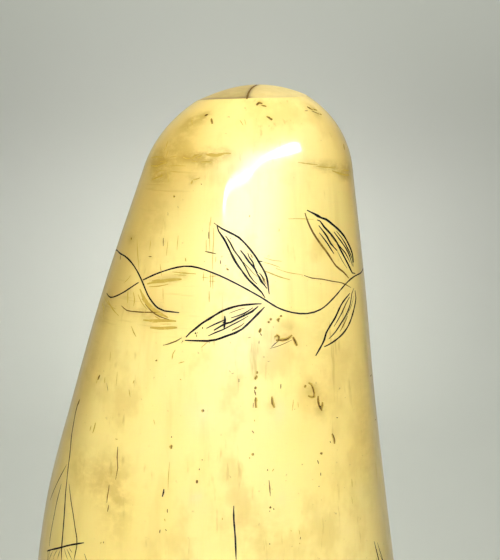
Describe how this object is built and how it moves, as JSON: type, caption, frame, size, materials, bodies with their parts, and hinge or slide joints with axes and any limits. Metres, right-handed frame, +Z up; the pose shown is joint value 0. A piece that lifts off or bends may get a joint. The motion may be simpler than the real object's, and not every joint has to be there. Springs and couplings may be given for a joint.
{
  "type": "scrimshaw whale tooth",
  "caption": "Curved whale tooth standing tip up on its sawn root, hollow at the root, with an engraved leafy vine and sailing ships.",
  "frame": {"origin": "on the flat sawn root, under the centre of the tooth's box", "axes": "+Z up along the tooth from root to tip, -Y towards the engraved front, +X towards the side that the tip leans to"},
  "size_m": [0.0708, 0.055, 0.1601],
  "materials": {
    "ivory": "polished cream-yellow tooth ivory with dark ink in the cut lines"
  },
  "bodies": {
    "root": {"tooth": "ivory"}
  },
  "joints": []
}
